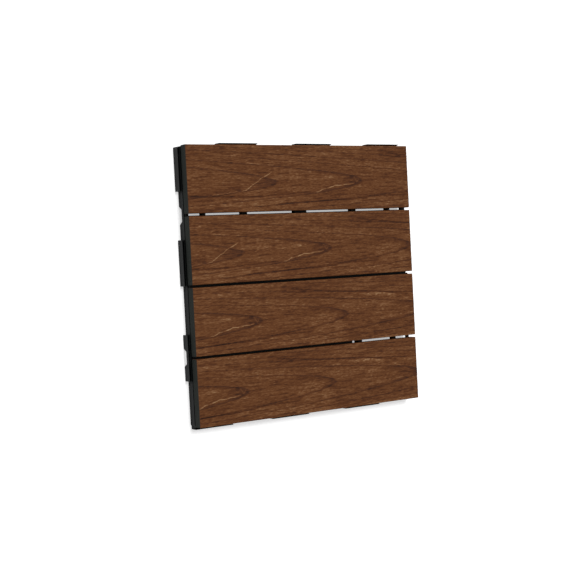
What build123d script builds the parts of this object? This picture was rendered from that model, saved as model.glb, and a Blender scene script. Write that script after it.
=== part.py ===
from build123d import *
import os

# Interlocking deck tile: four composite slats screwed from below to one moulded base.
# Sizes are in millimetres. The tile lies as it is used, with its slats up.
# The origin is on the ground under the middle of the tile, and the slats run along X.

# Whole tile
tile_side = 300.0
tile_height = 22.0

# Slats
slat_count = 4
slat_gap = 3.0
slat_thickness = 10.6
slat_edge_radius = 1.2
slat_under_chamfer = 0.6
slat_width = (tile_side - (slat_count - 1) * slat_gap) / slat_count
slat_pitch = slat_width + slat_gap

# Base rim: a wall with a shoulder, and a narrower flange on it that carries the slat ends
base_height = tile_height - slat_thickness
wall_inset = 0.5
wall_thickness = 1.8
wall_corner_radius = 2.0
shoulder_height = 9.0
shoulder_thickness = 0.8
flange_inset = 1.7
flange_width = 3.4

# Grid under the slats, held off the ground so that water runs below it
rib_clearance = 5.0
rib_thickness = 1.4
web_thickness = 2.0
cross_beam_places = (-126.0, -74.5, 0.0, 74.5, 126.0)
cross_beam_widths = (4.2, 6.6, 16.0, 6.6, 4.2)
mid_rib_spacing = 23.0

# Ribs on both sides of each gap between slats, as distances from the gap's middle.
# The first gap lets light through, the middle one has a web, the last has one on its left part.
gap_rib_offsets = ((4.0, -1.9), (7.3, -7.3), (4.2, -3.9))
middle_web_width = 16.0
last_gap_web_end = 213.5

# Feet under one middle rib of each slat, clear of the water channels
foot_places = (-126.0, -37.5, 37.5, 126.0)
foot_side = 9.0
foot_corner = 1.6

# Screws, two under each slat, in straps between the two ribs under its middle
screw_places = (-100.0, 100.0)
strap_width = 15.0
screw_hole_radius = 2.3
boss_width = 11.0
boss_depth = 1.6
shank_radius = 1.7
shank_length = 11.0
pilot_clearance = 0.06
pilot_depth = 8.2
head_radius = 4.0
head_height = 2.4
head_edge_radius = 3.2

# Edge clips, the same on all four sides, each side turned a quarter from the last.
# Each is given by its start and end along the side, from the corner at the side's left.
clip_reach = 3.0
clip_tip = 0.45
clip_root = 1.5
clip_spans = ((1.5, 48.5), (100.4, 149.6), (201.5, 251.0))
ledge_reach = 1.3
rung_thickness = 1.2
rung_height = 5.0

# Water channels through the walls, under the first and last gap
channel_places = (-slat_pitch, slat_pitch)
channel_height = 5.0
channel_width_bottom = 19.5
channel_width_top = 13.0

half = tile_side / 2
wall_face = half - wall_inset
wall_back = wall_face - wall_thickness
flange_face = half - flange_inset
flange_back = flange_face - flange_width
slat_lines = [half - slat_width / 2 - i * slat_pitch for i in range(slat_count)]
gap_lines = [slat_lines[i] - slat_pitch / 2 for i in range(slat_count - 1)]
mid_rib_lines = [y + side * mid_rib_spacing / 2 for y in slat_lines for side in (1, -1)]
foot_lines = [y - mid_rib_spacing / 2 if y > 0 else y + mid_rib_spacing / 2 for y in slat_lines]
screw_seat = base_height - web_thickness - boss_depth


def bar(x0, x1, y0, y1):
    """A rectangle in plan between two corners."""
    return Pos((x0 + x1) / 2, (y0 + y1) / 2) * Rectangle(abs(x1 - x0), abs(y1 - y0))


def raised(plan, low, high):
    """A plan given height, from one level to another."""
    return extrude(Pos(0, 0, low) * plan, amount=high - low)


def rim():
    """The wall, its shoulder and the flange under the slat ends."""
    outline = RectangleRounded(2 * wall_face, 2 * wall_face, wall_corner_radius)
    inner = RectangleRounded(2 * wall_back, 2 * wall_back, wall_corner_radius / 2)
    top = Rectangle(2 * flange_face, 2 * flange_face)
    opening = Rectangle(2 * flange_back, 2 * flange_back)
    wall = raised(outline - inner, 0, shoulder_height)
    shoulder = raised(outline - opening, shoulder_height - shoulder_thickness, shoulder_height)
    flange = raised(top - opening, shoulder_height, base_height)
    return wall + shoulder + flange


def ribs():
    """All ribs as one plan: cross beams' sides, ribs under the slats, ribs beside the gaps."""
    reach = wall_back
    plan = Sketch()
    for x, width in zip(cross_beam_places, cross_beam_widths):
        for side in (-1, 1):
            outer = x + side * width / 2
            plan += bar(outer - side * rib_thickness, outer, -reach, reach)
    for y in mid_rib_lines:
        plan += bar(-reach, reach, y - rib_thickness / 2, y + rib_thickness / 2)
    for line, offsets in zip(gap_lines, gap_rib_offsets):
        for offset in offsets:
            inward = -rib_thickness if offset > 0 else rib_thickness
            plan += bar(-reach, reach, line + offset, line + offset + inward)
    return raised(plan, rib_clearance, base_height)


def webs():
    """The flat tops: cross beams, the webs under gaps, and the straps that take the screws."""
    reach = flange_back + 1
    plan = Sketch()
    for x, width in zip(cross_beam_places, cross_beam_widths):
        plan += bar(x - width / 2, x + width / 2, -reach, reach)
    plan += bar(-reach, reach, -middle_web_width / 2, middle_web_width / 2)
    upper, lower = gap_rib_offsets[-1]
    plan += bar(-reach, last_gap_web_end - half, gap_lines[-1] + lower, gap_lines[-1] + upper)
    strap = Rectangle(strap_width, mid_rib_spacing)
    plan += [Pos(x, y) * strap for x in screw_places for y in slat_lines]
    return raised(plan, base_height - web_thickness, base_height)


def feet():
    """Square pads with cut corners that stand on the ground and carry the grid."""
    pad = Rectangle(foot_side, foot_side)
    pad = chamfer(pad.vertices(), foot_corner)
    foot = raised(pad, 0, rib_clearance + 1)
    return [Pos(x, y, 0) * foot for x in foot_places for y in foot_lines]


def screw_bosses():
    """An eight-sided pad under each strap that the screw head bears on."""
    pad = RegularPolygon(boss_width / 2, 8, major_radius=False, rotation=22.5)
    boss = raised(pad, screw_seat, screw_seat + boss_depth)
    return [Pos(x, y, 0) * boss for x in screw_places for y in slat_lines]


def clip(start, end):
    """One clip on the side at -Y: a tapered lip, a ledge on the wall and rungs between them."""
    length = end - start
    lip_face = half + clip_reach
    lip = Polyline(
        (lip_face, 0),
        (lip_face, shoulder_height),
        (lip_face - clip_tip, shoulder_height),
        (lip_face - clip_root, rung_height),
        (lip_face - clip_root, 0),
        close=True,
    )
    ledge = Polyline(
        (wall_face - 0.5, 0),
        (wall_face + ledge_reach, 0),
        (wall_face + ledge_reach, shoulder_height),
        (wall_face - 0.5, shoulder_height),
        close=True,
    )
    # The profiles are drawn as distance out from the middle against height, and run along X.
    side_plane = Plane(origin=(end - half, 0, 0), x_dir=(0, -1, 0), z_dir=(-1, 0, 0))
    solid = extrude(side_plane * make_face(lip), amount=length)
    solid += extrude(side_plane * make_face(ledge), amount=length)
    rungs = Sketch()
    for x in (start, (start + end - rung_thickness) / 2, end - rung_thickness):
        rungs += bar(x - half, x - half + rung_thickness, -lip_face + clip_tip, -wall_face)
    return solid + raised(rungs, 0, rung_height)


def water_channel(centre):
    """The cutter for one channel through the wall and clip at -Y."""
    bottom = channel_width_bottom / 2
    top = channel_width_top / 2
    profile = Polyline(
        (-bottom, -1),
        (-bottom, 0),
        (-top, channel_height),
        (top, channel_height),
        (bottom, 0),
        (bottom, -1),
        close=True,
    )
    front = Plane(origin=(centre, -wall_back + 1, 0), x_dir=(1, 0, 0), z_dir=(0, -1, 0))
    return extrude(front * make_face(profile), amount=clip_reach + wall_inset + wall_thickness + 2)


def base():
    """The whole moulding: rim, grid, feet, screw collars and the four sides' clips."""
    body = rim() + ribs() + webs() + feet() + screw_bosses()
    side = Part() + [clip(start, end) for start, end in clip_spans]
    body += [Rot(0, 0, 90 * quarter) * side for quarter in range(4)]
    channels = Part() + [water_channel(x) for x in channel_places]
    body -= [Rot(0, 0, 90 * quarter) * channels for quarter in range(4)]
    hole = raised(Circle(screw_hole_radius), 0, tile_height)
    return body - [Pos(x, y, 0) * hole for x in screw_places for y in slat_lines]


def slat():
    """One slat over its own middle line, with blind pilot holes in its underside."""
    section = Rectangle(slat_width, slat_thickness)
    top_corners = section.vertices().group_by(Axis.Y)[-1]
    section = fillet(top_corners, slat_edge_radius)
    bottom_corners = section.vertices().group_by(Axis.Y)[0]
    section = chamfer(bottom_corners, slat_under_chamfer)
    end = Plane(origin=(-half, 0, base_height + slat_thickness / 2), x_dir=(0, 1, 0), z_dir=(1, 0, 0))
    body = extrude(end * section, amount=tile_side)
    pilot = raised(Circle(shank_radius + pilot_clearance), base_height, base_height + pilot_depth)
    return body - [Pos(x, 0, 0) * pilot for x in screw_places]


def screw():
    """One screw, pointing up, with its head against the boss under the strap."""
    low = screw_seat - head_height
    tip = screw_seat + shank_length
    outline = Polyline(
        (0, low),
        (head_edge_radius, low),
        (head_radius, screw_seat),
        (shank_radius, screw_seat),
        (shank_radius, tip - shank_radius),
        (0, tip),
        close=True,
    )
    return revolve(Plane.XZ * make_face(outline), Axis.Z)


os.makedirs("parts", exist_ok=True)
export_step(base(), "parts/base.step")
one_slat = slat()
for number, y in enumerate(slat_lines, start=1):
    export_step(Pos(0, y, 0) * one_slat, f"parts/slat_{number}.step")
one_screw = screw()
all_screws = Compound(children=[Pos(x, y, 0) * one_screw for y in slat_lines for x in screw_places])
export_step(all_screws, "parts/slat_screws.step")
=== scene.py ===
import math

import bpy
import numpy as np
from mathutils import Matrix, Vector


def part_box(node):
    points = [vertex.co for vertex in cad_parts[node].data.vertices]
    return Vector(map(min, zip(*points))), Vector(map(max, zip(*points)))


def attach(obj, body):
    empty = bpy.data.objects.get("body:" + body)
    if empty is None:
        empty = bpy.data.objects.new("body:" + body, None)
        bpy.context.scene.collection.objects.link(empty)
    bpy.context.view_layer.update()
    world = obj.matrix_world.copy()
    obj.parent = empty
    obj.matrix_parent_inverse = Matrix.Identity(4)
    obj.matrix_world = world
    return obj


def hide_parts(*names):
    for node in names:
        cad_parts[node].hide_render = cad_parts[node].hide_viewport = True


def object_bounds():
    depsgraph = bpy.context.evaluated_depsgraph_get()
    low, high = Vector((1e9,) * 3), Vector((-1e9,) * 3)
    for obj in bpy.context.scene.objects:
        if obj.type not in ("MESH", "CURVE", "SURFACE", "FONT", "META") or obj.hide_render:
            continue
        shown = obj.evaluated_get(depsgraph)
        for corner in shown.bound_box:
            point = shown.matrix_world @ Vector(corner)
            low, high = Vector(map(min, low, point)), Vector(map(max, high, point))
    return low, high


# Interlocking deck tile: embossed wood-plastic slats on a black moulded base, on a white floor.
# The row frame is in metres, with Z up and the slats along X.

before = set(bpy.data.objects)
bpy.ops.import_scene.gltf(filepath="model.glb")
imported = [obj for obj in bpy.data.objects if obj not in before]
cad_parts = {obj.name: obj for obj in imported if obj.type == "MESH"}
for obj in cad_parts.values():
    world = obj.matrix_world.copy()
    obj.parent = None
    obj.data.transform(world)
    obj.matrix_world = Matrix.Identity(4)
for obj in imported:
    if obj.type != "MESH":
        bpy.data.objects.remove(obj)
cad_low, cad_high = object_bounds()
mm = 0.001

# Objects that a new file starts with
for first in ("Cube", "Light", "Camera"):
    if first in bpy.data.objects:
        bpy.data.objects.remove(bpy.data.objects[first])


def placed(name, data):
    """A new object in the scene."""
    made = bpy.data.objects.new(name, data)
    bpy.context.scene.collection.objects.link(made)
    return made


# Materials

def linear(hex_colour):
    """An sRGB hex colour as the linear values that the shaders take."""
    parts = [int(hex_colour[i:i + 2], 16) / 255 for i in (1, 3, 5)]
    return [p / 12.92 if p <= 0.04045 else ((p + 0.055) / 1.055) ** 2.4 for p in parts] + [1.0]


def add(tree, kind, links=None, inputs=None, stops=(), **settings):
    """One node with its links from other nodes' outputs, its input values, colour stops and settings."""
    node = tree.nodes.new(kind)
    for key, value in settings.items():
        setattr(node, key, value)
    for key, value in (inputs or {}).items():
        node.inputs[key].default_value = value
    for key, source in (links or {}).items():
        tree.links.new(source, node.inputs[key])
    for _ in stops[2:]:
        node.color_ramp.elements.new(0.5)
    for element, (place, colour) in zip(node.color_ramp.elements if stops else (), stops):
        element.position = place
        element.color = linear(colour)
    return node


def new_material(name):
    material = bpy.data.materials.new(name)
    material.use_nodes = True
    material.node_tree.nodes.clear()
    return material, material.node_tree


def surfaced(tree, links, inputs):
    """Ends a material in one surface."""
    surface = add(tree, "ShaderNodeBsdfPrincipled", links, inputs)
    add(tree, "ShaderNodeOutputMaterial", {"Surface": surface.outputs[0]})


def embossed_shell():
    """Co-extruded wood-plastic, embossed by a roller: matte, with darker bands and short fibre marks."""
    material, tree = new_material("wood_plastic_coextruded_embossed")
    # The tone holds the grain and, in its pale lines, painted highlights along the emboss ridges.
    tone = add(tree, "ShaderNodeAttribute", attribute_name="tone").outputs["Fac"]
    late = add(tree, "ShaderNodeAttribute", attribute_name="late").outputs["Fac"]
    place = add(tree, "ShaderNodeTexCoord").outputs["Object"]
    # Wood flour drawn out along the slat, in streaks about 4 mm long and 0.4 mm across.
    streaks_a_metre = (250, 2600, 1200)
    drawn = add(tree, "ShaderNodeMapping", {"Vector": place}, {"Scale": streaks_a_metre}).outputs[0]
    flour = add(tree, "ShaderNodeTexNoise", {"Vector": drawn}, {"Scale": 1, "Detail": 3, "Roughness": 0.6})
    flour = flour.outputs["Fac"]
    shift = add(tree, "ShaderNodeMath", {0: flour}, {1: 0.5}, operation="SUBTRACT").outputs[0]
    mixed = add(tree, "ShaderNodeMath", {0: shift, 2: tone}, {1: 0.9}, operation="MULTIPLY_ADD").outputs[0]
    browns = [(0.0, "#210f06"), (0.25, "#3b1e0d"), (0.5, "#522d14"), (0.72, "#653d1f"), (0.9, "#7c5536"),
              (1.0, "#9a7856")]
    colour = add(tree, "ShaderNodeValToRGB", {"Fac": mixed}, stops=browns).outputs["Color"]
    # The dark bands were pressed smoother than the light ones, so they shine a little more.
    roughness = add(tree, "ShaderNodeMapRange", {0: late}, {3: 0.72, 4: 0.56}).outputs[0]
    bump = add(tree, "ShaderNodeBump", {"Height": flour}, {"Strength": 0.8, "Distance": 0.3 * mm}).outputs[0]
    surfaced(tree, {"Base Color": colour, "Roughness": roughness, "Normal": bump},
             {"Specular IOR Level": 0.14})
    return material


def sawn_core():
    """The sawn end: dark recycled core with fine saw marks, under a brown shell about 1 mm thick."""
    material, tree = new_material("wood_plastic_core_sawn")
    place = add(tree, "ShaderNodeTexCoord").outputs["Object"]
    height = add(tree, "ShaderNodeSeparateXYZ", {0: place}).outputs["Z"]
    shell_foot, shell_full = cad_high.z - 1.3 * mm, cad_high.z - 0.9 * mm
    shell = add(tree, "ShaderNodeMapRange", {0: height}, {1: shell_foot, 2: shell_full}).outputs[0]
    flakes = add(tree, "ShaderNodeTexNoise", {"Vector": place}, {"Scale": 1500, "Detail": 2}).outputs["Fac"]
    greys = [(0.3, "#181b18"), (0.7, "#262a25")]
    core = add(tree, "ShaderNodeValToRGB", {"Fac": flakes}, stops=greys).outputs["Color"]
    colour = add(tree, "ShaderNodeMix", {"Factor": shell, 6: core}, {7: linear("#4a2f1d")}, data_type="RGBA")
    saw = add(tree, "ShaderNodeTexWave", {"Vector": place}, {"Scale": 250, "Distortion": 2},
              bands_direction="Y").outputs["Fac"]
    bump = add(tree, "ShaderNodeBump", {"Height": saw}, {"Strength": 0.3, "Distance": 0.1 * mm}).outputs[0]
    surfaced(tree, {"Base Color": colour.outputs[2], "Normal": bump},
             {"Roughness": 0.8, "Specular IOR Level": 0.25})
    return material


def moulded_black():
    """Injection-moulded black polypropylene: an even satin skin with a very fine spark-eroded texture."""
    material, tree = new_material("polypropylene_black_moulded")
    place = add(tree, "ShaderNodeTexCoord").outputs["Object"]
    fine = add(tree, "ShaderNodeTexNoise", {"Vector": place}, {"Scale": 2200, "Detail": 2}).outputs["Fac"]
    broad = add(tree, "ShaderNodeTexNoise", {"Vector": place}, {"Scale": 25, "Detail": 2}).outputs["Fac"]
    blacks = [(0.3, "#0b0d0d"), (0.7, "#101312")]
    colour = add(tree, "ShaderNodeValToRGB", {"Fac": broad}, stops=blacks).outputs["Color"]
    roughness = add(tree, "ShaderNodeMapRange", {0: broad}, {3: 0.42, 4: 0.52}).outputs[0]
    bump = add(tree, "ShaderNodeBump", {"Height": fine}, {"Strength": 0.25, "Distance": 0.06 * mm}).outputs[0]
    surfaced(tree, {"Base Color": colour, "Roughness": roughness, "Normal": bump},
             {"Specular IOR Level": 0.22})
    return material


def zinc_plate():
    """Zinc-plated steel, barrel-plated: bright grey with a slightly clouded sheen."""
    material, tree = new_material("steel_zinc_plated")
    place = add(tree, "ShaderNodeTexCoord").outputs["Object"]
    cloud = add(tree, "ShaderNodeTexNoise", {"Vector": place}, {"Scale": 600, "Detail": 3}).outputs["Fac"]
    greys = [(0.3, "#a2a6a8"), (0.7, "#bcc0c2")]
    colour = add(tree, "ShaderNodeValToRGB", {"Fac": cloud}, stops=greys).outputs["Color"]
    roughness = add(tree, "ShaderNodeMapRange", {0: cloud}, {3: 0.28, 4: 0.42}).outputs[0]
    surfaced(tree, {"Base Color": colour, "Roughness": roughness}, {"Metallic": 1.0})
    return material


# Grain of the embossing roller. One long board pattern is pressed, and each slat shows a window of it.
# Board places are in millimetres: b along the board, v down across the slat from its back edge.

board_windows = {"slat_1": 0, "slat_2": 48, "slat_3": 146, "slat_4": 168}
arch_line = 41.0
arch_slope = 2.7
# Dark late bands, as where each ends along the arch line and how wide it is there.
late_bands = ((-130, 34), (-30, 26), (109, 37), (228, 33), (345, 20), (470, 40), (600, 30), (715, 26),
              (840, 36), (960, 26), (1080, 34), (1210, 30), (1340, 34), (1480, 30))
band_edge = 5
band_growth = 2.2
fibre_drift = 0.004
# The pale lines along the lower edges of the arches are painted highlights, where the emboss ridges would
# catch the light.
painted_ridge_highlights = (((20, 56), (72, 50), (94, 36), (109, 29)), ((160, 54), (192, 46), (222, 43)),
              ((216, 41), (220, 36), (224, 42), (229, 35)))
ochre_lines = (((70, 19), (140, 27), (192, 37)), ((340, 22), (398, 20), (426, 24), (458, 38)),
               ((368, 51), (408, 48), (448, 45), (464, 43)))
dark_lines = (((0, 55), (80, 57), (160, 52)), ((112, 65), (220, 61), (254, 58), (300, 57)),
              ((266, 8), (330, 14), (390, 17), (440, 24)))
# How a plain place and each mark change the tone, from 0 dark to 1 pale, and the depth in millimetres.
plain_tone, plain_depth = 0.73, 0.4
mark_tone = {"late": -0.34, "dash": -0.3, "broad": 0.2, "fibre": 0.3, "pale": 0.45, "ochre": 0.16,
             "dark": -0.3}
mark_depth = {"late": -0.16, "dash": 0.22, "fibre": -0.3, "pale": -0.22, "dark": 0.16}
deepest = 0.8


def soft_step(x):
    x = np.clip(x, 0, 1)
    return x * x * (3 - 2 * x)


def noise(b, v, length, width, seed):
    """Smooth noise from -0.5 to 0.5, with cells of that length and width in millimetres."""
    table = np.random.default_rng(seed).random((512, 512))
    x, y = b / length, v / width
    column, row = np.floor(x).astype(int), np.floor(y).astype(int)
    fx, fy = soft_step(x - column), soft_step(y - row)
    near, far = [table[column % 512, r % 512] * (1 - fx) + table[(column + 1) % 512, r % 512] * fx
                 for r in (row, row + 1)]
    return near * (1 - fy) + far * fy - 0.5


def stroke(b, v, lines, half_width):
    """How much of a drawn line covers each place, from 0 to 1."""
    cover = np.zeros_like(b)
    for line in lines:
        along, across = np.array(line, float).T
        near = np.exp(-((v - np.interp(b, along, across)) / half_width) ** 2)
        inside = soft_step((b - along[0]) / 6) * soft_step((along[-1] - b) / 4)
        cover = np.maximum(cover, near * inside)
    return cover


def grain(b, v):
    """Late band, tone and relief depth (mm below the face) of the board pattern."""
    wander = 14 * noise(b, v, 60, 10, 1) + 5 * noise(b, v, 12, 2.2, 2)
    ring = b + (v - arch_line) ** 2 / arch_slope + wander
    late = np.zeros_like(b)
    for end, width in late_bands:
        rise = np.clip((ring - end + width) / width, 0, 1) ** band_growth
        late = np.maximum(late, rise * (1 - soft_step((ring - end) / band_edge)))
    drifted = v + 0.8 * noise(b, v, 40, 14, 3) + b * fibre_drift
    long_fibre = noise(b, drifted, 9, 0.8, 4)
    short_fibre = noise(b, drifted, 3, 0.6, 5)
    unsteady = v + 1.6 * noise(b, np.full_like(b, 0.5), 3.5, 1, 7)
    marks = {
        "late": late,
        "dash": soft_step((0.6 * long_fibre + 0.4 * short_fibre - 0.04) / 0.2),
        "broad": noise(b, v, 45, 6, 6),
        "fibre": short_fibre,
        # Painted highlights: pale, slightly raised lines where the emboss ridges would catch the light.
        "pale": stroke(b, unsteady, painted_ridge_highlights, 0.45),
        "ochre": stroke(b, v, ochre_lines, 1.3),
        "dark": stroke(b, v, dark_lines, 0.9),
    }
    tone = plain_tone + sum(weight * marks[mark] for mark, weight in mark_tone.items())
    depth = plain_depth + sum(weight * marks[mark] for mark, weight in mark_depth.items())
    return late, tone, np.clip(depth, 0, deepest)


# Slats

slat_edge_radius = 1.2 * mm
slat_under_chamfer = 0.6 * mm
edge_steps = 5
side_steps = 4
under_steps = 8
places_across, places_along = ((120, 480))


def slat_section(low, high):
    """The slat's outline across its length, from the face's front corner round to it again, as Y and Z."""
    radius, chamfer = slat_edge_radius, slat_under_chamfer
    width, thickness = high.y - low.y, high.z - low.z
    turn = np.linspace(0, math.pi / 2, edge_steps + 1)
    side_heights = [low.z + thickness * k / side_steps for k in range(1, side_steps)]
    outline = [(y, high.z) for y in np.linspace(low.y + radius, high.y - radius, places_across)]
    outline += [(high.y - radius + radius * math.sin(t), high.z - radius + radius * math.cos(t))
                for t in turn[1:]]
    outline += [(high.y, z) for z in reversed(side_heights)]
    outline += [(high.y, low.z + chamfer), (high.y - chamfer, low.z)]
    outline += [(high.y - width * k / under_steps, low.z) for k in range(1, under_steps)]
    outline += [(low.y + chamfer, low.z), (low.y, low.z + chamfer)]
    outline += [(low.y, z) for z in side_heights]
    outline += [(low.y + radius - radius * math.cos(t), high.z - radius + radius * math.sin(t))
                for t in turn[:-1]]
    return np.array(outline)


def slat_piece(node, shell, core):
    """One slat as a closed mesh: its section drawn along X, with the grain pressed into its face."""
    low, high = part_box(node)
    section = slat_section(low, high)
    count = len(section)
    x, y = np.meshgrid(np.linspace(low.x, high.x, places_along), section[:, 0], indexing="ij")
    z = np.repeat(section[None, :, 1], places_along, 0)
    # The pattern runs on over both long edges, and its relief fades out over the edge radius.
    down = (high.y - y) / mm
    side = np.clip((high.z - z) / mm, 0, None)
    front = y < (low.y + high.y) / 2
    board = (x - low.x) / mm + board_windows[node]
    late, tone, depth = grain(board, down + np.where(front, side, -side))
    z = z - depth * mm * np.clip(1 - side * mm / slat_edge_radius, 0, 1)
    co = np.stack([x, y, z], -1).reshape(-1, 3)
    i, j = np.meshgrid(np.arange(places_along - 1), np.arange(count), indexing="ij")
    k = (j + 1) % count
    corners = [i * count + j, (i + 1) * count + j, (i + 1) * count + k, i * count + k]
    faces = np.stack(corners, -1).reshape(-1, 4).tolist()
    faces.append(list(range(count)))
    faces.append(list(range((places_along - 1) * count, places_along * count))[::-1])
    mesh = bpy.data.meshes.new(node + "_embossed")
    mesh.from_pydata(co.tolist(), [], faces)
    mesh.polygons.foreach_set("use_smooth", [True] * len(faces))
    mesh.materials.append(shell)
    mesh.materials.append(core)
    for sawn_end in mesh.polygons[-2:]:
        sawn_end.material_index = 1
    for name, values in (("late", late), ("tone", tone)):
        attribute = mesh.attributes.new(name, "FLOAT", "POINT")
        attribute.data.foreach_set("value", values.astype(np.float32).ravel())
    mesh.update()
    mesh.set_sharp_from_angle(angle=math.radians(55))
    piece = placed(node + "_embossed", mesh)
    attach(piece, "root")
    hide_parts(node)


# Screws, in millimetres from the head's lower face

screw_steps = 36
head_radius = 4.0
recess_depth = 1.3
recess_centre = 1.4
recess_reach = 2.3
recess_half_arm = 0.75
recess_rings = (0.25, 0.6, 1.0, 1.4, 1.8, 2.2, 2.6, 3.0)
head_profile = ((3.2, 0.0), (3.75, 0.3), (head_radius, 1.6), (head_radius, 2.4), (1.7, 2.4), (1.7, 3.2))
thread_start = 3.5
thread_pitch = 1.5
thread_core = 1.3
thread_height = 0.4
thread_step = 0.3
tip_length = 1.2


def one_screw(low_z, high_z):
    """A screw on its own axis, point up: a pan head with a cross recess, a short neck and a thread."""
    angle = np.arange(screw_steps) * 2 * math.pi / screw_steps
    round_steps = np.ones(screw_steps)
    tip = (high_z - low_z) / mm
    rings = []
    for r in recess_rings:
        arm = np.minimum(abs(r * np.sin(angle)), abs(r * np.cos(angle)))
        pressed = soft_step((recess_half_arm - arm) / 0.3) * soft_step((recess_reach - r) / 0.6)
        rings.append((r * round_steps, recess_depth * pressed))
    rings += [(r * round_steps, z * round_steps) for r, z in head_profile]
    for z in np.arange(thread_start, tip - tip_length, thread_step):
        turn = (z / thread_pitch - angle / (2 * math.pi)) % 1
        radius = thread_core + thread_height * (1 - abs(2 * turn - 1)) ** 2
        rings.append((radius, z * round_steps))
    rings.append((0.6 * round_steps, (tip - 0.4) * round_steps))
    co = [(r * math.cos(a) * mm, r * math.sin(a) * mm, low_z + z * mm)
          for radii, heights in rings for a, r, z in zip(angle, radii, heights)]
    head_centre, point = len(co), len(co) + 1
    co += [(0, 0, low_z + recess_centre * mm), (0, 0, high_z)]
    last_ring = (len(rings) - 1) * screw_steps
    faces = []
    for j in range(screw_steps):
        k = (j + 1) % screw_steps
        faces.append((head_centre, k, j))
        faces += [(i + k, i + screw_steps + k, i + screw_steps + j, i + j)
                  for i in range(0, last_ring, screw_steps)]
        faces.append((last_ring + j, last_ring + k, point))
    mesh = bpy.data.meshes.new("one_screw")
    mesh.from_pydata(co, [], faces)
    mesh.polygons.foreach_set("use_smooth", [True] * len(faces))
    mesh.set_sharp_from_angle(angle=math.radians(40))
    return placed("one_screw", mesh)


def screw_rows(material):
    """The screws in their rows, two under each slat, as one plain mesh."""
    low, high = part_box("slat_screws")
    screw = one_screw(low.z, high.z)
    tree = bpy.data.node_groups.new("screw_rows", "GeometryNodeTree")
    tree.interface.new_socket("Geometry", in_out="INPUT", socket_type="NodeSocketGeometry")
    tree.interface.new_socket("Geometry", in_out="OUTPUT", socket_type="NodeSocketGeometry")
    head = 2 * head_radius * mm
    settings = {
        "Screw": ("NodeSocketObject", screw),
        "Length": ("NodeSocketFloat", high.x - low.x - head),
        "Width": ("NodeSocketFloat", high.y - low.y - head),
        "Finish": ("NodeSocketMaterial", material),
    }
    sockets = {name: tree.interface.new_socket(name, in_out="INPUT", socket_type=kind).identifier
               for name, (kind, _) in settings.items()}
    given = add(tree, "NodeGroupInput").outputs
    places = add(tree, "GeometryNodeMeshGrid", {"Size X": given["Length"], "Size Y": given["Width"]},
                 {"Vertices X": 2, "Vertices Y": 4}).outputs["Mesh"]
    shape = add(tree, "GeometryNodeObjectInfo", {"Object": given["Screw"]}).outputs["Geometry"]
    rows = add(tree, "GeometryNodeInstanceOnPoints", {"Points": places, "Instance": shape}).outputs[0]
    real = add(tree, "GeometryNodeRealizeInstances", {"Geometry": rows}).outputs[0]
    coated = add(tree, "GeometryNodeSetMaterial", {"Geometry": real, "Material": given["Finish"]}).outputs[0]
    add(tree, "NodeGroupOutput", {"Geometry": coated})
    holder = placed("screw_holder", bpy.data.meshes.new("screw_holder"))
    modifier = holder.modifiers.new("rows", "NODES")
    modifier.node_group = tree
    for name, (_, value) in settings.items():
        modifier[sockets[name]] = value
    bpy.context.view_layer.update()
    graph = bpy.context.evaluated_depsgraph_get()
    mesh = bpy.data.meshes.new_from_object(holder.evaluated_get(graph))
    mesh.name = "slat_screws_threaded"
    bpy.data.objects.remove(holder)
    bpy.data.objects.remove(screw)
    piece = placed("slat_screws_threaded", mesh)
    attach(piece, "root")
    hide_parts("slat_screws")


# Floor, surroundings and light. The sky and the lamp together light a level surface so that a colour
# renders about as it is written.

floor_reach = 6.0
floor_lift = 0.45
sky_fill = 0.45
lamp_strength = 1.85
lamp_spread = 22
towards_lamp = (0.06, 0.45, 1.0)


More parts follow.
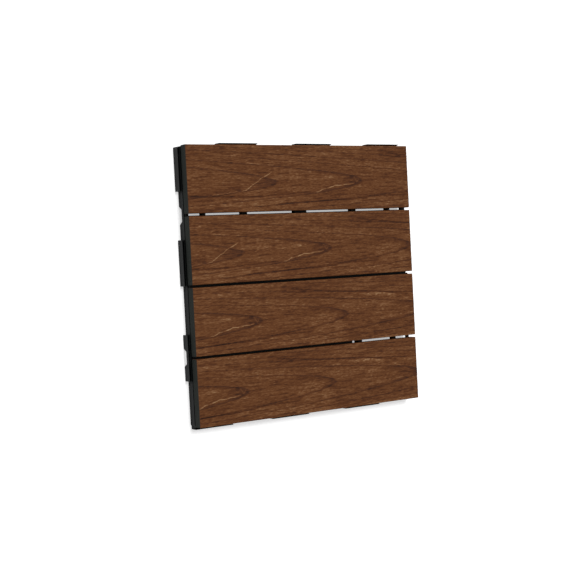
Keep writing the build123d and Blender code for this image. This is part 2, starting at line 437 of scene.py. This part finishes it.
def white_floor():
    """A white studio floor that stays white to the camera and keeps the tile's shadow."""
    mesh = bpy.data.meshes.new("studio_floor")
    corners = [(x * floor_reach, y * floor_reach, 0) for x, y in ((-1, -1), (1, -1), (1, 1), (-1, 1))]
    mesh.from_pydata(corners, [], [(0, 1, 2, 3)])
    material, tree = new_material("studio_floor_white")
    seen = add(tree, "ShaderNodeLightPath").outputs["Is Camera Ray"]
    lift = add(tree, "ShaderNodeMath", {0: seen}, {1: floor_lift}, operation="MULTIPLY").outputs[0]
    glow = add(tree, "ShaderNodeEmission", {"Strength": lift}).outputs[0]
    paint = add(tree, "ShaderNodeBsdfDiffuse", inputs={"Color": linear("#f2f2f2")}).outputs[0]
    both = add(tree, "ShaderNodeAddShader", {0: glow, 1: paint}).outputs[0]
    add(tree, "ShaderNodeOutputMaterial", {"Surface": both})
    mesh.materials.append(material)
    floor = placed("studio_floor", mesh)


def surroundings():
    """Even white surroundings: white to the camera, and a soft fill on the tile."""
    world = bpy.data.worlds.new("studio")
    world.use_nodes = True
    tree = world.node_tree
    tree.nodes.clear()
    seen = add(tree, "ShaderNodeLightPath").outputs["Is Camera Ray"]
    strength = add(tree, "ShaderNodeMapRange", {0: seen}, {3: sky_fill, 4: 1.0}).outputs[0]
    sky = add(tree, "ShaderNodeBackground", {"Strength": strength}, {"Color": linear("#ffffff")}).outputs[0]
    add(tree, "ShaderNodeOutputWorld", {"Surface": sky})
    bpy.context.scene.world = world


def soft_light():
    """A broad light from above and behind, which leaves its shadow along the front edge."""
    light = bpy.data.lights.new("soft_light", "SUN")
    light.energy = lamp_strength
    light.angle = math.radians(lamp_spread)
    lamp = placed("soft_light", light)
    lamp.rotation_mode = "QUATERNION"
    lamp.rotation_quaternion = Vector(towards_lamp).to_track_quat("Z", "Y")


def camera():
    """The photo's view: from the left and above, looking down on the tile."""
    data = bpy.data.cameras.new("photo_camera")
    data.lens = 76.37
    data.sensor_width = 36
    data.clip_end = 100
    right, up, back = (0.8272, -0.0515, 0.5596), (0.0583, 0.9983, 0.0057), (-0.5589, 0.0279, 0.8287)
    eye = placed("photo_camera", data)
    eye.rotation_mode = "QUATERNION"
    eye.rotation_quaternion = Matrix((right, up, back)).transposed().to_quaternion()
    eye.location = (-0.7866, 0.0294, 1.1444)
    bpy.context.scene.camera = eye


shell = embossed_shell()
core = sawn_core()
for node in board_windows:
    slat_piece(node, shell, core)
screw_rows(zinc_plate())
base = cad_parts["base"]
base.data.materials[0] = moulded_black()
white_floor()
surroundings()
soft_light()
camera()
bpy.context.scene.view_settings.view_transform = "Standard"
